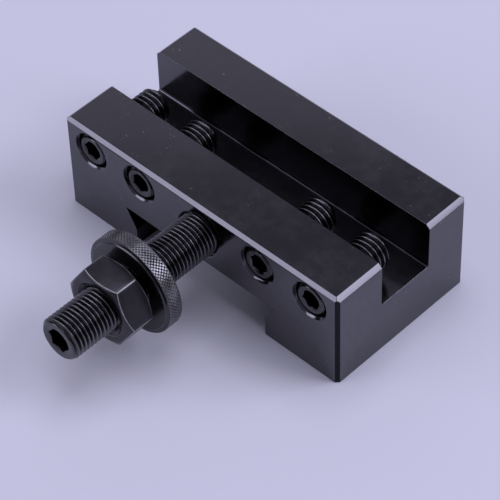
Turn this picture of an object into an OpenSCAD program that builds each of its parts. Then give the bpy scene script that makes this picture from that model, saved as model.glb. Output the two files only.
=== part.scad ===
// Quick change lathe tool holder, turning and facing pattern.
// A steel block with a tool slot on top, four clamp screws through its front jaw,
// and a dovetail socket underneath that slides over a tool post. A threaded stud
// stands out of the front face with a knurled wheel, which sets the height of the
// holder on the post, and a nut that locks the wheel.
//
// Origin: middle of the dovetail mouth, on the face that meets the post.
// +X runs along the tool slot, -Y is the stud side, +Z is the open side of the slot.
// All lengths are in millimetres. Threads are plain cylinders at their outer diameter.

/* [Body] */
// Length of the body along the tool slot
body_l = 76.2; // [72:0.1:82]
// Width of the body from the stud side to the back
body_w = 38.1; // [37:0.1:42]
// Height of the body above the face that meets the post
body_h = 24.6; // [24.2:0.1:30]
// Chamfer on the long edges and on the upright corners
edge_chamfer = 0.8; // [0.4:0.1:1.0]
// Chamfer on the top edges at the two ends
end_chamfer = 1.0; // [0.4:0.1:1.2]

/* [Tool slot] */
// Width of the tool slot
slot_w = 14.0; // [13:0.1:14.5]
// Depth of the tool slot below the top face
slot_depth = 11.5; // [10.5:0.1:12]
// Thickness of the back jaw
back_jaw = 11.2; // [10:0.1:11.5]
// Fillet radius along the floor of the slot
slot_fillet = 0.5; // [0.3:0.1:1]

/* [Dovetail] */
// Width of the socket at its floor
dove_w = 42.2; // [40:0.1:44]
// Depth of the socket
dove_depth = 9.4; // [8:0.1:9.8]
// Height of the straight lips below the slanted walls
dove_lip = 4.6; // [4:0.1:6]
// Angle between the slanted walls and the floor
dove_angle = 60; // [55:1:65]

/* [Clamp screws] */
// Outer diameter of the thread
screw_d = 8; // [7:0.5:8]
// Length of a screw, its point included
screw_l = 20; // [18:0.5:22]
// Distance of the inner pair from the middle of the body
screw_inner_x = 16.6; // [15:0.1:18]
// Distance of the outer pair from the middle of the body
screw_outer_x = 30.6; // [29:0.1:31.5]
// Depth of the screw axes below the top face
screw_drop = 5.45; // [5.4:0.05:5.8]
// How far the socket end lies below the front face
screw_recess = 0.3; // [0:0.1:1]
// Width across the flats of the hexagon socket
screw_socket = 4; // [3:0.5:4]

/* [Height stud] */
// Outer diameter of the thread
stud_d = 9.8; // [9:0.1:10]
// Length of the stud
stud_l = 50; // [46:0.5:55]
// Length that is screwed into the body
stud_seat = 11.4; // [10:0.1:12]
// Height of the stud axis above the face that meets the post
stud_z = 16.25; // [16:0.05:17]
// Width across the flats of the hexagon socket
stud_socket = 5; // [4:0.5:5]

/* [Height wheel] */
// Diameter over the knurl
wheel_d = 22.4; // [21.4:0.1:26]
// Thickness of the wheel
wheel_t = 4; // [3.5:0.1:6]
// Distance of the wheel from the front face
wheel_gap = 15.35; // [10:0.05:16]
// Diameter of the flat faces, inside their sloping rims
wheel_face_d = 20.2; // [18:0.1:20.6]

/* [Lock nut] */
// Width across the flats
nut_af = 15.8; // [15:0.1:17]
// Thickness of the nut
nut_t = 6.8; // [5:0.1:7]
// Distance of the nut from the front face
nut_gap = 20.8; // [20.8:0.05:23]

/* [Fits] */
// Radial clearance between a thread and its hole
thread_clearance = 0.04; // [0.02:0.01:0.08]
// Distance between a screw and its point
point_clearance = 0.02; // [0.01:0.01:0.04]

/* [Hidden] */
$fn = 64;
// Cutters overlap or run past the surfaces they open by one of these
eps = 0.01;
cut = 1;
front_y = -body_w / 2;
back_y = body_w / 2;
slot_back_y = back_y - back_jaw;
slot_front_y = slot_back_y - slot_w;
slot_floor_z = body_h - slot_depth;
screw_z = body_h - screw_drop;
screw_x = [-screw_outer_x, -screw_inner_x, screw_inner_x, screw_outer_x];
// Each clamp screw's hexagon socket is left at its own angle, and so is the stud's
screw_turn = [8, 31, 17, 44];
stud_turn = 12;

// Mouths of the threaded holes are countersunk by this much on the radius
screw_countersink = 0.5;
stud_countersink = 0.6;

// Set screw proportions: the end chamfer, the tapered nose, and the cup in its point
screw_end_chamfer = 0.8;
nose_l = 0.7;
nose_r = 3.3;
point_l = 0.7;
point_r = 2.6;
cup_r = 2.1;
cup_depth = 0.6;
screw_socket_depth = 5;
stud_socket_depth = 5.5;
stud_chamfer = 0.7;

// Threaded sleeve of the wheel and of the nut: it travels along the stud
sleeve_bore_r = stud_d / 2 + thread_clearance;
sleeve_wall = 1.16;
sleeve_clearance = 0.03;
sleeve_r = sleeve_bore_r + sleeve_wall;
sleeve_hole_r = sleeve_r + sleeve_clearance;

// Height of the sloping rims of the wheel
wheel_slope = 0.3;

// The nut's corners are turned off at 30 degrees, down to this share of its flats
nut_face_share = 0.96;
nut_face_r = nut_face_share * nut_af / 2;
nut_corner_r = nut_af / 2 / cos(30);
nut_turn = 2.4;

steel = [0.23, 0.23, 0.26];
bright_steel = [0.33, 0.33, 0.36];

// Places children with their +Z along +Y, starting at height z and depth y
module along_y(x, y, z) {
    translate([x, y, z]) rotate([-90, 0, 0]) children();
}

// Rectangle with its corners cut at 45 degrees
module chamfered_rect(w, h, c) {
    polygon([[-w / 2 + c, 0], [w / 2 - c, 0], [w / 2, c], [w / 2, h - c],
             [w / 2 - c, h], [-w / 2 + c, h], [-w / 2, h - c], [-w / 2, c]]);
}

// Rectangle with only its two upper corners cut at 45 degrees
module roofed_rect(w, h, c) {
    polygon([[-w / 2, 0], [w / 2, 0], [w / 2, h - c],
             [w / 2 - c, h], [-w / 2 + c, h], [-w / 2, h - c]]);
}

// Extrudes a section drawn in Y and Z along the whole X direction
module along_x(length) {
    rotate([90, 0, 90]) linear_extrude(length, center = true) children();
}

// Extrudes a section drawn in X and Z along the whole Y direction
module across_y(length) {
    rotate([90, 0, 0]) linear_extrude(length, center = true) children();
}

module block() {
    intersection() {
        translate([0, front_y, 0]) linear_extrude(body_h)
            chamfered_rect(body_l, body_w, edge_chamfer);
        along_x(body_l) roofed_rect(body_w, body_h, edge_chamfer);
        across_y(body_w) roofed_rect(body_l, body_h, end_chamfer);
    }
}

// The slot is open at the top and at both ends; its lower corners are filleted
module tool_slot() {
    along_x(body_l + 2 * cut) {
        translate([slot_front_y, slot_floor_z + slot_fillet]) square([slot_w, slot_depth]);
        translate([slot_front_y + slot_fillet, slot_floor_z])
            square([slot_w - 2 * slot_fillet, slot_depth]);
        for (y = [slot_front_y + slot_fillet, slot_back_y - slot_fillet])
            translate([y, slot_floor_z + slot_fillet]) circle(slot_fillet);
    }
}

module dovetail_socket() {
    lip_x = dove_w / 2 - (dove_depth - dove_lip) / tan(dove_angle);
    across_y(body_w + 2 * cut)
        polygon([[-lip_x, -cut], [lip_x, -cut], [lip_x, dove_lip], [dove_w / 2, dove_depth],
                 [-dove_w / 2, dove_depth], [-lip_x, dove_lip]]);
}

// Hole from the front face inwards, with its mouth countersunk at 45 degrees
module front_hole(x, z, r, depth, sink) {
    along_y(x, front_y - cut, z) cylinder(r = r, h = depth + cut);
    along_y(x, front_y - eps, z) cylinder(r1 = r + sink + eps, r2 = r, h = sink + eps);
}

module hex_socket(af, depth) {
    translate([0, 0, -eps]) cylinder(r = af / 2 / cos(30), h = depth, $fn = 6);
}

module holder_body() {
    screw_hole_r = screw_d / 2 + thread_clearance;
    stud_hole_r = stud_d / 2 + thread_clearance;
    color(steel) difference() {
        block();
        tool_slot();
        dovetail_socket();
        for (x = screw_x)
            front_hole(x, screw_z, screw_hole_r, slot_front_y - front_y + cut, screw_countersink);
        front_hole(0, stud_z, stud_hole_r, stud_seat, stud_countersink);
    }
}

module height_stud() {
    r = stud_d / 2;
    shaft_l = stud_l - stud_chamfer;
    color(bright_steel) along_y(0, front_y + stud_seat - stud_l, stud_z) difference() {
        union() {
            cylinder(r1 = r - stud_chamfer, r2 = r, h = stud_chamfer);
            translate([0, 0, stud_chamfer]) cylinder(r = r, h = shaft_l);
        }
        rotate(stud_turn) hex_socket(stud_socket, stud_socket_depth);
    }
}

// Threaded part of clamp screw i, from its socket end to halfway down its nose
module clamp_screw(i) {
    r = screw_d / 2;
    straight_l = screw_l - screw_end_chamfer - nose_l - point_l;
    color(bright_steel) along_y(screw_x[i], front_y + screw_recess, screw_z) difference() {
        union() {
            cylinder(r1 = r - screw_end_chamfer, r2 = r, h = screw_end_chamfer);
            translate([0, 0, screw_end_chamfer]) cylinder(r = r, h = straight_l);
            translate([0, 0, screw_end_chamfer + straight_l])
                cylinder(r1 = r, r2 = nose_r, h = nose_l);
        }
        rotate(screw_turn[i]) hex_socket(screw_socket, screw_socket_depth);
    }
}

// Cup point of clamp screw i
module clamp_point(i) {
    start_y = front_y + screw_recess + screw_l - point_l + point_clearance;
    color(bright_steel) along_y(screw_x[i], start_y, screw_z) difference() {
        cylinder(r1 = nose_r, r2 = point_r, h = point_l - point_clearance);
        translate([0, 0, point_l - point_clearance - cup_depth])
            cylinder(r1 = 0, r2 = cup_r, h = cup_depth);
    }
}

module height_wheel() {
    rim_r = wheel_d / 2;
    face_r = wheel_face_d / 2;
    color(steel) along_y(0, front_y - wheel_gap - wheel_t, stud_z) rotate_extrude()
        polygon([[sleeve_hole_r, 0], [face_r, 0], [rim_r, wheel_slope],
                 [rim_r, wheel_t - wheel_slope], [face_r, wheel_t], [sleeve_hole_r, wheel_t]]);
}

module lock_nut() {
    clear_r = nut_corner_r + cut;
    cone_h = (clear_r - nut_face_r) * tan(30);
    color(steel) along_y(0, front_y - nut_gap - nut_t, stud_z) difference() {
        intersection() {
            rotate(nut_turn) cylinder(r = nut_corner_r, h = nut_t, $fn = 6);
            rotate_extrude()
                polygon([[0, 0], [nut_face_r, 0], [clear_r, cone_h], [clear_r, nut_t - cone_h],
                         [nut_face_r, nut_t], [0, nut_t]]);
        }
        translate([0, 0, -cut]) cylinder(r = sleeve_hole_r, h = nut_t + 2 * cut);
    }
}

// Ring that carries the internal thread of the wheel or of the nut
module threaded_sleeve(gap, length) {
    color(bright_steel) along_y(0, front_y - gap - length, stud_z) difference() {
        cylinder(r = sleeve_r, h = length);
        translate([0, 0, -cut]) cylinder(r = sleeve_bore_r, h = length + 2 * cut);
    }
}

holder_body();
height_stud();
clamp_screw(0);  // clamp_screw_1
clamp_screw(1);  // clamp_screw_2
clamp_screw(2);  // clamp_screw_3
clamp_screw(3);  // clamp_screw_4
clamp_point(0);  // clamp_point_1
clamp_point(1);  // clamp_point_2
clamp_point(2);  // clamp_point_3
clamp_point(3);  // clamp_point_4
height_wheel();
threaded_sleeve(wheel_gap, wheel_t);  // wheel_sleeve
lock_nut();
threaded_sleeve(nut_gap, nut_t);  // nut_sleeve
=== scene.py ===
"""Looks of a quick change lathe tool holder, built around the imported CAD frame.

Everything is in metres, in the CAD frame: +X runs along the tool slot, -Y is the
stud side, +Z is the open side of the slot, and the holder lies on z = 0. Constants
and the coordinates inside a Part are in millimetres, unless a comment says otherwise.
"""

import math

import bmesh
import bpy
from mathutils import Matrix, Vector


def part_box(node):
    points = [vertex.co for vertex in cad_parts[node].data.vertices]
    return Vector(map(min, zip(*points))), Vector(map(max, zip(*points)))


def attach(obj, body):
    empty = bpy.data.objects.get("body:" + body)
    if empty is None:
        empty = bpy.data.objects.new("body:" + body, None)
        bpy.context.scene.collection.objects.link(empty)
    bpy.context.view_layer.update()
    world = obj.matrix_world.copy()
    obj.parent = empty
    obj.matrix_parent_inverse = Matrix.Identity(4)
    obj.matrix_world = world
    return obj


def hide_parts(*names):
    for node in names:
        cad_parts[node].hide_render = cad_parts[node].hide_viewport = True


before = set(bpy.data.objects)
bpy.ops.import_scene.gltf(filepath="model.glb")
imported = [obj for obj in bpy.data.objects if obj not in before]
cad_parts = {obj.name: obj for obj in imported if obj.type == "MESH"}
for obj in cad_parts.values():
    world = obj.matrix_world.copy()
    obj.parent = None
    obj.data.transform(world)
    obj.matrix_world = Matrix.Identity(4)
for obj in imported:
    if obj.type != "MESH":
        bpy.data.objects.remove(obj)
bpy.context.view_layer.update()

MM = 0.001
TAU = 2 * math.pi

# ---------------------------------------------------------------- camera

# Viewing angles in degrees, then the place the camera looks at
CAM_AZIMUTH = 45.1877
CAM_ELEVATION = 46.9315
CAM_ROLL = -2.0059
CAM_DISTANCE = 568.52
CAM_ASIDE = -18.12
CAM_TARGET = (0.0, 21.164, -19.795)
CAM_LENS = 187.29
CAM_SENSOR = 36.0
CAM_SHIFT_Y = 0.0039
# Nearest and farthest distance it shows, in metres
CAM_CLIP = (0.01, 50)


def add_camera():
    az, el = math.radians(CAM_AZIMUTH), math.radians(CAM_ELEVATION)
    back = Vector((math.sin(az) * math.cos(el), -math.cos(az) * math.cos(el), math.sin(el)))
    right = Vector((math.cos(az), math.sin(az), 0))
    up = back.cross(right)
    roll = math.radians(CAM_ROLL)
    cam_x = math.cos(roll) * right + math.sin(roll) * up
    cam_y = -math.sin(roll) * right + math.cos(roll) * up
    place = Vector(CAM_TARGET) + back * CAM_DISTANCE + right * CAM_ASIDE
    data = bpy.data.cameras.new("camera")
    data.sensor_width = CAM_SENSOR
    data.lens = CAM_LENS
    data.shift_y = CAM_SHIFT_Y
    data.clip_start, data.clip_end = CAM_CLIP
    cam = bpy.data.objects.new("camera", data)
    matrix = Matrix((cam_x, cam_y, back)).transposed().to_4x4()
    matrix.translation = place * MM
    cam.matrix_world = matrix
    bpy.context.scene.collection.objects.link(cam)
    bpy.context.scene.camera = cam


add_camera()

# ---------------------------------------------------------------- materials

# Colours of bare steel, of bare steel with a painted highlight, of painted shade, and of
# steel under dust
WORN_STEEL = (0.46, 0.46, 0.47)
BARE_STEEL_AND_HIGHLIGHT = (0.58, 0.57, 0.58)
PAINTED_SHADE_BLACK = (0.016, 0.016, 0.019)
DUSTY_STEEL = (0.33, 0.33, 0.35)

# Each noise has a scale in features per metre, a detail and a roughness. The black is
# mottled by wide clouds and small patches, and grain roughens it.
CLOUDS = (55.0, 4.0, 0.55)
PATCHES = (420.0, 3.0, 0.6)
CLOUD_SHARE = 0.6
MOTTLE_RANGE = (0.36, 0.64)
PATCH_BUMP = 0.12
PATCH_HEIGHT = 0.008
GRAIN_HEIGHT = 0.004
# How far the mottling takes the roughness down and up
GLOSS_RANGE = (0.35, 0.65)
GLOSS_DOWN = 0.03
GLOSS_UP = 0.04

# Body: roughness, grain, dust specks and the fields they lie in, and scuffed edges
BODY_ROUGH = 0.15
BODY_WORN_ROUGH = 0.2
BODY_GRAIN = (1500.0, 3.0, 0.6)
BODY_GRAIN_BUMP = 0.06
SPECKS = (2300.0, 1.0, 0.4)
SPECK_RANGE = (0.715, 0.745)
FIELDS = (260.0, 2.0, 0.5)
FIELD_RANGE = (0.50, 0.64)
SCUFFS = (700.0, 4.0, 0.65)
SCUFF_RANGE = (0.30, 0.62)
SCUFF_LEAST = 0.65
EDGE_RADIUS = 0.16
EDGE_SAMPLES = 6
EDGE_RANGE = (0.015, 0.13)
EDGE_WEAR = 0.25
# Half width, half length, lowest and highest point of the space in the dovetail socket, all
# painted near black as shade
DOVETAIL_SHADE_SPACE = (21.4 * MM, 19.0 * MM, 0.05 * MM, 9.6 * MM)
# A face turned 45 degrees has a product of 0.5 between two parts of its normal
TURNED_PRODUCT = (0.40, 0.49)

# Small parts: grain, the relief that is painted near black as shade, and the relief that is
# worn
PART_GRAIN = (1200.0, 3.0, 0.6)
PART_GRAIN_BUMP = 0.1
NUT_GRAIN_BUMP = 0.3
GROOVE_SHADE_RELIEF = (0.0, 0.55)
WORN_RELIEF = (0.82, 0.98)
PART_SCUFFS = (260.0, 3.0, 0.6)
PART_SCUFF_RANGE = (0.30, 0.65)
PART_SCUFF_LEAST = 0.35


class Nodes:
    """Short calls for building one material's node tree."""

    def __init__(self, name):
        self.mat = bpy.data.materials.new(name)
        self.mat.use_nodes = True
        self.tree = self.mat.node_tree
        self.bsdf = self.tree.nodes["Principled BSDF"]

    def add(self, kind, **settings):
        n = self.tree.nodes.new(kind)
        for key, value in settings.items():
            setattr(n, key, value)
        return n

    def link(self, a, b):
        self.tree.links.new(a, b)

    def math(self, op, a, b=None, clamp=False):
        n = self.add("ShaderNodeMath", operation=op, use_clamp=clamp)
        for i, v in enumerate((a, b)):
            if v is None:
                continue
            if isinstance(v, (int, float)):
                n.inputs[i].default_value = v
            else:
                self.link(v, n.inputs[i])
        return n.outputs[0]

    def coords(self, kind):
        return self.add("ShaderNodeTexCoord").outputs[kind]

    def noise(self, scale, detail, rough):
        """Noise with the given number of features in a metre."""
        n = self.add("ShaderNodeTexNoise")
        n.inputs["Scale"].default_value = scale
        n.inputs["Detail"].default_value = detail
        n.inputs["Roughness"].default_value = rough
        self.link(self.coords("Object"), n.inputs["Vector"])
        return n.outputs["Fac"]

    def ramp(self, fac, lo, hi, out_lo=0.0, out_hi=1.0):
        n = self.add("ShaderNodeMapRange", interpolation_type="SMOOTHSTEP")
        n.inputs["From Min"].default_value = lo
        n.inputs["From Max"].default_value = hi
        n.inputs["To Min"].default_value = out_lo
        n.inputs["To Max"].default_value = out_hi
        self.link(fac, n.inputs["Value"])
        return n.outputs[0]

    def mix(self, fac, a, b):
        n = self.add("ShaderNodeMix", data_type="RGBA")
        ins = [s for s in n.inputs if s.enabled]
        for sock, v in zip(ins, (fac, a, b)):
            if isinstance(v, (int, float)):
                sock.default_value = v
            elif isinstance(v, tuple):
                sock.default_value = (*v, 1.0)
            else:
                self.link(v, sock)
        return [s for s in n.outputs if s.enabled][0]

    def edge(self, radius_mm):
        """0 on flat surfaces, rising towards 1 on edges."""
        bev = self.add("ShaderNodeBevel", samples=EDGE_SAMPLES)
        bev.inputs["Radius"].default_value = radius_mm * MM
        geo = self.add("ShaderNodeNewGeometry")
        dot = self.add("ShaderNodeVectorMath", operation="DOT_PRODUCT")
        self.link(bev.outputs["Normal"], dot.inputs[0])
        self.link(geo.outputs["Normal"], dot.inputs[1])
        return self.math("SUBTRACT", 1.0, dot.outputs["Value"], clamp=True)

    def turned(self, *pairs):
        """1 on faces turned 45 degrees between the two axes of any of the pairs."""
        split = self.add("ShaderNodeSeparateXYZ")
        self.link(self.coords("Normal"), split.inputs[0])
        total = 0.0
        for one, other in pairs:
            both = self.math("MULTIPLY", split.outputs[one], split.outputs[other])
            total = self.math("ADD", self.math("ABSOLUTE", both), total)
        return self.ramp(total, *TURNED_PRODUCT)

    def inside(self, half_x, half_y, low_z, high_z):
        """1 within a box about the origin, given in metres."""
        split = self.add("ShaderNodeSeparateXYZ")
        self.link(self.coords("Object"), split.inputs[0])
        x = self.math("LESS_THAN", self.math("ABSOLUTE", split.outputs["X"]), half_x)
        y = self.math("LESS_THAN", self.math("ABSOLUTE", split.outputs["Y"]), half_y)
        z = self.math("MULTIPLY", self.math("GREATER_THAN", split.outputs["Z"], low_z),
                      self.math("LESS_THAN", split.outputs["Z"], high_z))
        return self.math("MULTIPLY", self.math("MULTIPLY", x, y), z)

    def relief(self):
        """Height of the surface, from 0 in a groove to 1 on a crest."""
        return self.add("ShaderNodeAttribute", attribute_name="relief").outputs["Fac"]

    def bump(self, height, strength, distance_mm, normal=None):
        b = self.add("ShaderNodeBump")
        b.inputs["Strength"].default_value = strength
        b.inputs["Distance"].default_value = distance_mm * MM
        self.link(height, b.inputs["Height"])
        if normal is not None:
            self.link(normal, b.inputs["Normal"])
        return b.outputs[0]


def black_oxide(name, dark, light, grain_noise, grain_bump):
    """Blackened steel with mottled colour. Gives the nodes, the colour and the mottling."""
    n = Nodes(name)
    n.bsdf.inputs["Metallic"].default_value = 1.0
    cloud = n.noise(*CLOUDS)
    patch = n.noise(*PATCHES)
    grain = n.noise(*grain_noise)
    cloud_part = n.math("MULTIPLY", cloud, CLOUD_SHARE)
    patch_part = n.math("MULTIPLY", patch, 1 - CLOUD_SHARE)
    mottle = n.math("ADD", cloud_part, patch_part)
    fine = n.bump(grain, grain_bump, GRAIN_HEIGHT)
    n.link(n.bump(patch, PATCH_BUMP, PATCH_HEIGHT, fine), n.bsdf.inputs["Normal"])
    return n, n.mix(n.ramp(mottle, *MOTTLE_RANGE), dark, light), mottle


def finish_steel(n, color, mottle, rough, worn, worn_color, worn_rough):
    """Wears the colour off where worn is 1, and sets the gloss."""
    n.link(n.mix(worn, color, worn_color), n.bsdf.inputs["Base Color"])
    gloss = n.ramp(mottle, *GLOSS_RANGE, rough - GLOSS_DOWN, rough + GLOSS_UP)
    gloss = n.math("ADD", gloss, n.math("MULTIPLY", worn, worn_rough - rough))
    n.link(gloss, n.bsdf.inputs["Roughness"])
    return n.mat


def body_steel(dark, light):
    """Ground faces with dust specks, bare edges, and painted shade: near black on faces
    turned 45 degrees between X and Y and in the dovetail socket.
    """
    n, color, mottle = black_oxide("body_steel", dark, light, BODY_GRAIN, BODY_GRAIN_BUMP)
    specks = n.ramp(n.noise(*SPECKS), *SPECK_RANGE)
    fields = n.ramp(n.noise(*FIELDS), *FIELD_RANGE)
    level = n.math("SUBTRACT", 1.0, n.turned("XY", "YZ", "XZ"))
    dust = n.math("MULTIPLY", n.math("MULTIPLY", specks, fields), level)
    color = n.mix(dust, color, DUSTY_STEEL)
    # Painted shade: faces turned 45 degrees between X and Y, such as the vertical corner
    # chamfers and the sides of the countersinks, are made near black
    color = n.mix(n.turned("XY"), color, PAINTED_SHADE_BLACK)
    # Painted shade: everything inside the dovetail socket is made near black
    color = n.mix(n.inside(*DOVETAIL_SHADE_SPACE), color, PAINTED_SHADE_BLACK)
    scuff = n.ramp(n.noise(*SCUFFS), *SCUFF_RANGE, SCUFF_LEAST, 1.0)
    edges = n.ramp(n.edge(EDGE_RADIUS), *EDGE_RANGE, 0.0, EDGE_WEAR)
    worn = n.math("MULTIPLY", edges, scuff)
    return finish_steel(n, color, mottle, BODY_ROUGH, worn, WORN_STEEL, BODY_WORN_ROUGH)


def worked_steel(name, dark, light, rough, wear, worn_rough,
                 worn_color=WORN_STEEL, grain_bump=PART_GRAIN_BUMP):
    """Threaded, knurled or edged steel: painted shade, near black, in the grooves, and bare
    steel on the crests, which on the nut's edges is partly a painted highlight.
    """
    n, color, mottle = black_oxide(name, dark, light, PART_GRAIN, grain_bump)
    height = n.relief()
    # Painted shade: the grooves are made near black
    color = n.mix(n.ramp(height, *GROOVE_SHADE_RELIEF), PAINTED_SHADE_BLACK, color)
    scuff = n.ramp(n.noise(*PART_SCUFFS), *PART_SCUFF_RANGE, PART_SCUFF_LEAST, 1.0)
    worn = n.math("MULTIPLY", n.ramp(height, *WORN_RELIEF, 0.0, wear), scuff)
    return finish_steel(n, color, mottle, rough, worn, worn_color, worn_rough)


MAT_BODY = body_steel((0.103, 0.101, 0.111), (0.119, 0.117, 0.128))
MAT_SCREW = worked_steel("screw_steel", (0.058, 0.057, 0.060), (0.085, 0.084, 0.088),
                         rough=0.23, wear=0.35, worn_rough=0.25)
MAT_STUD = worked_steel("stud_steel", (0.058, 0.057, 0.060), (0.090, 0.089, 0.093),
                        rough=0.23, wear=0.40, worn_rough=0.25)
MAT_WHEEL = worked_steel("wheel_steel", (0.058, 0.057, 0.061), (0.078, 0.077, 0.083),
                         rough=0.27, wear=0.40, worn_rough=0.22)
# The nut's rounded edges get bright, rough bare steel: partly wear, partly a painted
# highlight
MAT_NUT = worked_steel("nut_steel", (0.044, 0.043, 0.047), (0.062, 0.061, 0.067),
                       rough=0.30, wear=0.95, worn_rough=0.75,
                       worn_color=BARE_STEEL_AND_HIGHLIGHT, grain_bump=NUT_GRAIN_BUMP)

# ---------------------------------------------------------------- mesh helpers

# Vertices closer than this are one, and shorter edges are dropped
MERGE_AT = 0.002
SHORT_EDGE = 0.001


class Part:
    """Collects vertices and faces in a local frame whose +t axis is the CAD's +Y.

    Each vertex has a relief: 0 in a groove, 1 on a crest, PLAIN on any other surface.
    """

    PLAIN = 0.7

    def __init__(self, x, y, z):
        self.at = (x, y, z)
        self.verts = []
        self.relief = []
        self.faces = []

    def add(self, points, relief=None):
        """Adds vertices and returns the number of the first."""
        first = len(self.verts)
        self.verts.extend(points)
        self.relief.extend(relief or [self.PLAIN] * len(points))
        return first

    def grid(self, rings):
        """Quads between closed rings of points, angle by angle."""
        n = len(rings[0])
        base = self.add([point for ring in rings for point in ring])
        for i in range(len(rings) - 1):
            a, b = base + i * n, base + (i + 1) * n
            for k in range(n):
                m = (k + 1) % n
                self.faces.append((a + k, a + m, b + m, b + k))

    def fan(self, ring, tip):
        n = len(ring)
        base = self.add([*ring, tip])
        for k in range(n):
            self.faces.append((base + k, base + (k + 1) % n, base + n))

    def build(self, name, sharp_deg=32.0, edge_mm=0.0):
        """Makes the object; edge_mm rounds the sharp edges and marks them as crests."""
        cx, cy, cz = self.at
        points = [(cx + x * MM, cy + t * MM, cz - y * MM) for x, y, t in self.verts]
        mesh = bpy.data.meshes.new(name)
        mesh.from_pydata(points, [], self.faces)
        layer = mesh.attributes.new("relief", "FLOAT", "POINT")
        layer.data.foreach_set("value", self.relief)
        bm = bmesh.new()
        bm.from_mesh(mesh)
        bmesh.ops.remove_doubles(bm, verts=bm.verts, dist=MERGE_AT * MM)
        bmesh.ops.dissolve_degenerate(bm, dist=SHORT_EDGE * MM, edges=bm.edges)
        loose = [v for v in bm.verts if not v.link_faces]
        bmesh.ops.delete(bm, geom=loose, context="VERTS")
        bmesh.ops.recalc_face_normals(bm, faces=bm.faces)
        if edge_mm:
            round_edges(bm, sharp_deg, edge_mm)
        bm.to_mesh(mesh)
        bm.free()
        mesh.shade_smooth()
        mesh.set_sharp_from_angle(angle=math.radians(sharp_deg))
        obj = bpy.data.objects.new(name, mesh)
        bpy.context.scene.collection.objects.link(obj)
        return obj


def round_edges(bm, sharp_deg, width_mm):
    """Rounds the edges sharper than the angle, and marks the middle of each as a crest."""
    limit = math.radians(sharp_deg)
    edges = [e for e in bm.edges if e.calc_face_angle(0) > limit]
    made = bmesh.ops.bevel(bm, geom=edges, offset=width_mm * MM, offset_type="OFFSET",
                           segments=2, profile=0.5, affect="EDGES", clamp_overlap=True)
    strip = set(made["faces"])
    layer = bm.verts.layers.float["relief"]
    for vert in made["verts"]:
        if all(face in strip for face in vert.link_faces):
            vert[layer] = 1.0


def circle(r, t, angles):
    return [(r * math.cos(a), r * math.sin(a), t) for a in angles]


def hex_radius(a, across, turn):
    """Distance from the axis to a hexagon with a corner at the angle turn."""
    return across / 2 / math.cos((a - turn) % (TAU / 6) - TAU / 12)


def spaced(n, turn):
    return [turn + TAU * k / n for k in range(n)]


def finish_piece(obj, body, slot, material, *nodes):
    obj.data.materials.append(material)
    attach(obj, body)
    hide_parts(*nodes)


# ---------------------------------------------------------------- holder body

BODY_BEVEL = 0.09
BODY_BEVEL_DEG = 28
# Triangles turned less than this from each other become one flat face
BODY_FLAT_DEG = 0.6


def build_holder():
    """The CAD body with fine rounded edges."""
    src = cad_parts["holder_body"]
    mesh = src.data.copy()
    mesh.name = "holder"
    mesh.materials.clear()
    bm = bmesh.new()
    bm.from_mesh(mesh)
    bmesh.ops.remove_doubles(bm, verts=bm.verts, dist=SHORT_EDGE * MM)
    bmesh.ops.dissolve_limit(bm, angle_limit=math.radians(BODY_FLAT_DEG),
                             use_dissolve_boundaries=False, verts=bm.verts, edges=bm.edges)
    bmesh.ops.recalc_face_normals(bm, faces=bm.faces)
    bm.to_mesh(mesh)
    bm.free()
    obj = bpy.data.objects.new("holder", mesh)
    bpy.context.scene.collection.objects.link(obj)
    bevel = obj.modifiers.new("edges", "BEVEL")
    bevel.width = BODY_BEVEL * MM
    bevel.segments = 2
    bevel.limit_method = "ANGLE"
    bevel.angle_limit = math.radians(BODY_BEVEL_DEG)
    mesh.shade_smooth()
    flat = obj.modifiers.new("flat faces", "WEIGHTED_NORMAL")
    flat.weight = 100
    flat.keep_sharp = False
    finish_piece(obj, "holder", "body_steel", MAT_BODY, "holder_body")


build_holder()

# ---------------------------------------------------------------- threaded parts

# Profile of one thread turn: place along the pitch, and height above the root
THREAD = ((0.00, 0.88), (0.05, 0.97), (0.11, 1.0), (0.17, 0.97), (0.22, 0.88), (0.36, 0.50),
          (0.50, 0.10), (0.56, 0.02), (0.61, 0.0), (0.66, 0.02), (0.72, 0.10), (0.86, 0.50))
THREAD_DEPTH = 0.6134
ROUND_ANGLES = 72
POINT_ANGLES = 64
THREAD_SHARP_DEG = 40

# Hexagon socket: its lead-in cone and the drill point at its bottom
KEY_LEAD = 0.10
KEY_LEAD_SLOPE = 0.75
KEY_MOUTH_W = 0.12
KEY_MOUTH_DROP = 0.03
DRILL_SHARE = 0.96
DRILL_POINT = 1.0
DRILL_FLOOR = 0.1

STUD_PITCH = 1.0
STUD_CUT = 0.7
STUD_KEY = 5.0
STUD_KEY_DEPTH = 5.5
STUD_TURN = 12
SCREW_PITCH = 1.25
SCREW_CUT = 0.8
SCREW_KEY = 4.0
SCREW_KEY_DEPTH = 5.0
SCREW_TURN = (8, 31, 17, 44)

# Taper and cup of a clamp screw's point
NOSE_R = 3.3
POINT_R = 2.6
CUP_R = 2.1
CUP_DEPTH = 0.6
CUP_TIP_R = 0.5
CUP_TIP_T = 0.53
CUP_TIP_MID = 0.56
POINT_ROUND = 0.06
POINT_CORNER = 0.04
CUP_ROUND = 0.05


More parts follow.
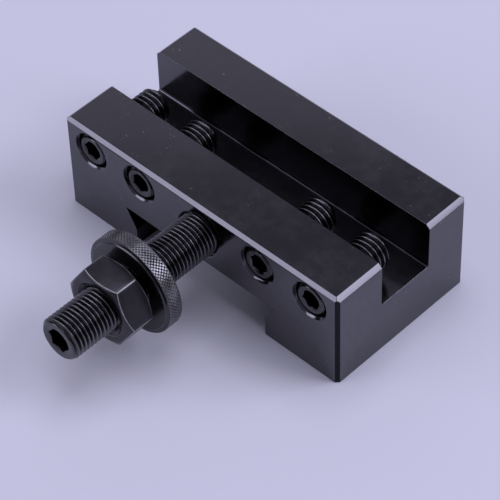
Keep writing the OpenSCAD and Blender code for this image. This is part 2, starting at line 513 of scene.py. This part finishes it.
def threaded_rod(part, length, pitch, major_r, start_cut, end_cut, angles):
    """Helical surface from t = 0 to t = length, cut by a cone at each end."""
    depth = THREAD_DEPTH * pitch
    n = len(angles)
    m = len(THREAD)
    turns = int(length / pitch) + 2
    rows = [(turn + u, h) for turn in range(-1, turns) for u, h in THREAD]
    points, relief = [], []
    for u, h in rows:
        for k, a in enumerate(angles):
            t = min(max(pitch * (u + k / n), 0.0), length)
            full = major_r - depth * (1 - h)
            r = min(full, major_r - start_cut + t, major_r - end_cut + (length - t))
            points.append((r * math.cos(a), r * math.sin(a), t))
            relief.append(h if r == full else part.PLAIN)
    base = part.add(points, relief)
    # Along the seam each row meets the row that lies one turn further on
    for j in range(len(rows) - 1):
        for k in range(n - 1):
            a = base + j * n + k
            part.faces.append((a, a + 1, a + 1 + n, a + n))
        if j + 1 + m < len(rows):
            a = base + j * n + n - 1
            b = base + (j + m) * n
            part.faces.append((a, b, b + n, a + n))


def socket_end(part, rim_r, across, depth, turn, angles):
    """End face with a hexagon socket: a cone lets the key in, a drill point ends it."""
    mouth_r = across / 2 / math.cos(TAU / 12) + KEY_LEAD
    drill_r = DRILL_SHARE * across / 2
    drill_t = depth - DRILL_POINT
    mouth, floor = [], []
    for a in angles:
        r = hex_radius(a, across, turn)
        x, y = r * math.cos(a), r * math.sin(a)
        mouth.append((x, y, KEY_LEAD_SLOPE * (mouth_r - r)))
        floor.append((x, y, drill_t))
    part.grid([circle(rim_r, 0, angles), circle(mouth_r + KEY_MOUTH_W, 0, angles),
               circle(mouth_r, KEY_MOUTH_DROP, angles), mouth, floor,
               circle(drill_r, drill_t, angles)])
    part.fan(circle(drill_r, drill_t, angles), (0, 0, depth - DRILL_FLOOR))


def part_on(node):
    """Empty Part at the -Y end of a round node's axis, with the node's radius and length."""
    lo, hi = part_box(node)
    part = Part((lo.x + hi.x) / 2, lo.y, (lo.z + hi.z) / 2)
    return part, (hi.x - lo.x) / 2 / MM, (hi.y - lo.y) / MM


def build_stud():
    part, r, length = part_on("height_stud")
    turn = math.radians(STUD_TURN)
    angles = spaced(ROUND_ANGLES, turn)
    threaded_rod(part, length, STUD_PITCH, r, STUD_CUT, STUD_CUT, angles)
    socket_end(part, r - STUD_CUT, STUD_KEY, STUD_KEY_DEPTH, turn, angles)
    part.fan(circle(r - STUD_CUT, length, angles), (0, 0, length))
    obj = part.build("stud", THREAD_SHARP_DEG)
    finish_piece(obj, "holder", "stud_steel", MAT_STUD, "height_stud")


def build_clamp(i):
    part, r, length = part_on(f"clamp_screw_{i}")
    turn = math.radians(SCREW_TURN[i - 1])
    angles = spaced(ROUND_ANGLES, turn)
    threaded_rod(part, length, SCREW_PITCH, r, SCREW_CUT, r - NOSE_R, angles)
    socket_end(part, r - SCREW_CUT, SCREW_KEY, SCREW_KEY_DEPTH, turn, angles)
    part.fan(circle(NOSE_R, length, angles), (0, 0, length))
    obj = part.build(f"clamp_screw_{i}_threaded", THREAD_SHARP_DEG)
    finish_piece(obj, f"clamp_screw_{i}", "screw_steel", MAT_SCREW, f"clamp_screw_{i}")


def build_point(i):
    """Tapered end of clamp screw i, with its cup."""
    part, r, length = part_on(f"clamp_point_{i}")
    angles = spaced(POINT_ANGLES, 0)
    profile = ((r, 0), (POINT_R + POINT_ROUND, length - POINT_ROUND),
               (POINT_R - POINT_CORNER, length), (CUP_R + POINT_ROUND, length),
               (CUP_R - POINT_ROUND, length - CUP_ROUND), (CUP_TIP_R, length - CUP_TIP_T))
    part.grid([circle(a, t, angles) for a, t in profile])
    part.fan(circle(CUP_TIP_R, length - CUP_TIP_MID, angles), (0, 0, length - CUP_DEPTH))
    part.fan(circle(r, 0, angles), (0, 0, 0))
    obj = part.build(f"clamp_point_{i}_cup")
    finish_piece(obj, f"clamp_point_{i}", "screw_steel", MAT_SCREW, f"clamp_point_{i}")


build_stud()
for number in range(1, 5):
    build_clamp(number)
    build_point(number)

# ---------------------------------------------------------------- height wheel

SLEEVE_R = 6.1
SLEEVE_HOLE_R = 6.13
SLEEVE_BORE_R = 4.94
SLEEVE_ANGLES = 96
SLEEVE_RIM = 0.06
# Flat face, the bevel round it, the cone outside the bevel, and the rounded corner
WHEEL_FACE_R = 10.1
FACE_EDGE = 0.22
CONE_DEG = 7
RIM_ROUND = 0.12
WHEEL_SHARP_DEG = 20
WHEEL_MOUTH = 0.8
# Diamonds round the rim, steps across each, and the groove's share of a diamond
KNURL_ROUND = 84
KNURL_CELL = 8
KNURL_DEPTH = 0.07
KNURL_GROOVE = 0.08


def knurl_height(u, v):
    """0 in the grooves of a diamond knurl, 1 on its flat tops."""
    a, b = (u + v) % 1.0, (u - v) % 1.0
    near = min(a, 1 - a, b, 1 - b)
    return min(near / KNURL_GROOVE, 1.0)


def knurled_rim(part, r, width, angles, edge_r):
    """Rim with rounded corners and a knurl that fades out on them. Gives its end rings."""
    n = len(angles)
    cell = TAU * r / KNURL_ROUND
    turned = math.radians(90 - CONE_DEG)
    cone_r = r - RIM_ROUND * (1 - math.cos(turned))
    cone_t = FACE_EDGE + (cone_r - edge_r) * math.tan(math.radians(CONE_DEG))
    half_flat = width / 2 - cone_t - RIM_ROUND * math.sin(turned)
    half_rim = half_flat + RIM_ROUND * turned
    count = 2 * round(half_rim / cell * KNURL_CELL)
    points, heights = [], []
    for j in range(count + 1):
        s = half_rim * (2 * j / count - 1)
        bend = max(abs(s) - half_flat, 0.0) / RIM_ROUND
        out = r - RIM_ROUND * (1 - math.cos(bend))
        along = math.copysign(min(abs(s), half_flat) + RIM_ROUND * math.sin(bend), s)
        fade = 1 - (bend / turned) ** 2
        for k, a in enumerate(angles):
            high = knurl_height(k / KNURL_CELL, s / cell)
            cut = KNURL_DEPTH * (1 - high) * fade
            q = out - cut * math.cos(bend)
            t = width / 2 + along - math.copysign(cut * math.sin(bend), s)
            points.append((q * math.cos(a), q * math.sin(a), t))
            heights.append(part.PLAIN + (high - part.PLAIN) * fade)
    base = part.add(points, heights)
    # Each square is split along the diagonal that follows the groove
    for j in range(count):
        for k in range(n):
            m = (k + 1) % n
            low, high = j * n, (j + 1) * n
            corners = [base + low + k, base + low + m, base + high + m, base + high + k]
            if heights[low + k] + heights[high + m] >= heights[low + m] + heights[high + k]:
                corners = corners[1:] + corners[:1]
            a, b, c, d = corners
            part.faces += [(a, b, c), (a, c, d)]
    return points[:n], points[-n:]


def build_wheel():
    part, r, width = part_on("height_wheel")
    angles = spaced(KNURL_ROUND * KNURL_CELL, 0)
    edge_r = WHEEL_FACE_R + FACE_EDGE
    first, last = knurled_rim(part, r, width, angles, edge_r)
    profile = ((edge_r, FACE_EDGE), (WHEEL_FACE_R, 0), (SLEEVE_HOLE_R, 0),
               (SLEEVE_HOLE_R, width), (WHEEL_FACE_R, width), (edge_r, width - FACE_EDGE))
    part.grid([first, *(circle(a, t, angles) for a, t in profile), last])
    obj = part.build("knurled_wheel", WHEEL_SHARP_DEG)
    finish_piece(obj, "height_wheel", "wheel_steel", MAT_WHEEL, "height_wheel")


def build_sleeve(name, node, slot, material, mouth):
    """Threaded core of the wheel or the nut, with a countersunk mouth at each end."""
    part, _, width = part_on(node)
    angles = spaced(SLEEVE_ANGLES, 0)
    profile = ((SLEEVE_R, 0), (SLEEVE_R - SLEEVE_RIM, 0), (SLEEVE_BORE_R, mouth),
               (SLEEVE_BORE_R, width - mouth), (SLEEVE_R - SLEEVE_RIM, width),
               (SLEEVE_R, width), (SLEEVE_R, 0))
    part.grid([circle(a, t, angles) for a, t in profile])
    obj = part.build(name)
    finish_piece(obj, node, slot, material, node)


build_wheel()
build_sleeve("wheel_thread", "wheel_sleeve", "wheel_steel", MAT_WHEEL, WHEEL_MOUTH)

# ---------------------------------------------------------------- lock nut

NUT_AF = 15.8
NUT_TURN = 2.4
NUT_ANGLES = 96
# The corners are turned off at this angle, down to this radius on each face
NUT_CONE_DEG = 30
NUT_FACE_R = 0.96 * NUT_AF / 2
NUT_EDGE = 0.3
NUT_SHARP_DEG = 35
NUT_MOUTH = 0.9


def build_nut():
    part, _, width = part_on("lock_nut")
    turn = math.radians(NUT_TURN)
    angles = spaced(NUT_ANGLES, turn)
    slope = math.tan(math.radians(NUT_CONE_DEG))
    near, far = [], []
    for a in angles:
        q = hex_radius(a, NUT_AF, turn)
        t = (q - NUT_FACE_R) * slope
        near.append((q * math.cos(a), q * math.sin(a), t))
        far.append((q * math.cos(a), q * math.sin(a), width - t))
    part.grid([circle(SLEEVE_HOLE_R, 0, angles), circle(NUT_FACE_R, 0, angles), near, far,
               circle(NUT_FACE_R, width, angles), circle(SLEEVE_HOLE_R, width, angles),
               circle(SLEEVE_HOLE_R, 0, angles)])
    obj = part.build("hex_nut", NUT_SHARP_DEG, NUT_EDGE)
    finish_piece(obj, "lock_nut", "nut_steel", MAT_NUT, "lock_nut")


build_nut()
build_sleeve("nut_thread", "nut_sleeve", "nut_steel", MAT_NUT, NUT_MOUTH)

# ---------------------------------------------------------------- stage and light

# The floor reaches this far each way, in metres, and lies this far below the holder
FLOOR_REACH = 3.0
FLOOR_GAP = 0.02
FLOOR_COLOR = (0.71, 0.71, 0.785)
FLOOR_ROUGH = 0.6
FLOOR_SHINE = 0.2

LIGHT_COLOR = (0.81, 0.80, 1.0)
WORLD_RADIANCE = 0.22
# Name, azimuth and elevation in degrees, distance, width and height in metres, radiance
SOFTBOXES = (
    ("softbox_left", -124, 26, 1.2, 0.90, 0.50, 3.0),
    ("softbox_right", 38, 40, 1.2, 0.66, 0.66, 4.6),
    ("softbox_back", 142, 29, 1.6, 1.80, 0.94, 0.42),
    ("softbox_top", 90, 82, 1.3, 0.90, 0.90, 2.6),
)


def build_floor():
    mesh = bpy.data.meshes.new("floor")
    s = FLOOR_REACH
    mesh.from_pydata([(-s, -s, 0), (s, -s, 0), (s, s, 0), (-s, s, 0)], [], [(0, 1, 2, 3)])
    obj = bpy.data.objects.new("floor", mesh)
    obj.location.z = -FLOOR_GAP * MM
    bpy.context.scene.collection.objects.link(obj)
    mat = bpy.data.materials.new("floor")
    mat.use_nodes = True
    bsdf = mat.node_tree.nodes["Principled BSDF"]
    bsdf.inputs["Base Color"].default_value = (*FLOOR_COLOR, 1)
    bsdf.inputs["Roughness"].default_value = FLOOR_ROUGH
    bsdf.inputs["Specular IOR Level"].default_value = FLOOR_SHINE
    mesh.materials.append(mat)


def add_softbox(name, azimuth, elevation, distance, width, height, radiance):
    """Light that shines on the object; the azimuth runs from +X towards +Y, in degrees."""
    data = bpy.data.lights.new(name, "AREA")
    data.shape = "RECTANGLE"
    data.size = width
    data.size_y = height
    data.energy = radiance * math.pi * width * height
    data.color = LIGHT_COLOR
    obj = bpy.data.objects.new(name, data)
    az, el = math.radians(azimuth), math.radians(elevation)
    d = Vector((math.cos(az) * math.cos(el), math.sin(az) * math.cos(el), math.sin(el)))
    obj.location = d * distance
    obj.rotation_euler = d.to_track_quat("Z", "Y").to_euler()
    obj.visible_camera = False
    bpy.context.scene.collection.objects.link(obj)


def add_world(radiance):
    world = bpy.data.worlds.new("world")
    bpy.context.scene.world = world
    world.use_nodes = True
    bg = world.node_tree.nodes["Background"]
    bg.inputs["Color"].default_value = (*LIGHT_COLOR, 1)
    bg.inputs["Strength"].default_value = radiance


build_floor()
add_world(WORLD_RADIANCE)
for softbox in SOFTBOXES:
    add_softbox(*softbox)
bpy.context.scene.view_settings.view_transform = "Standard"
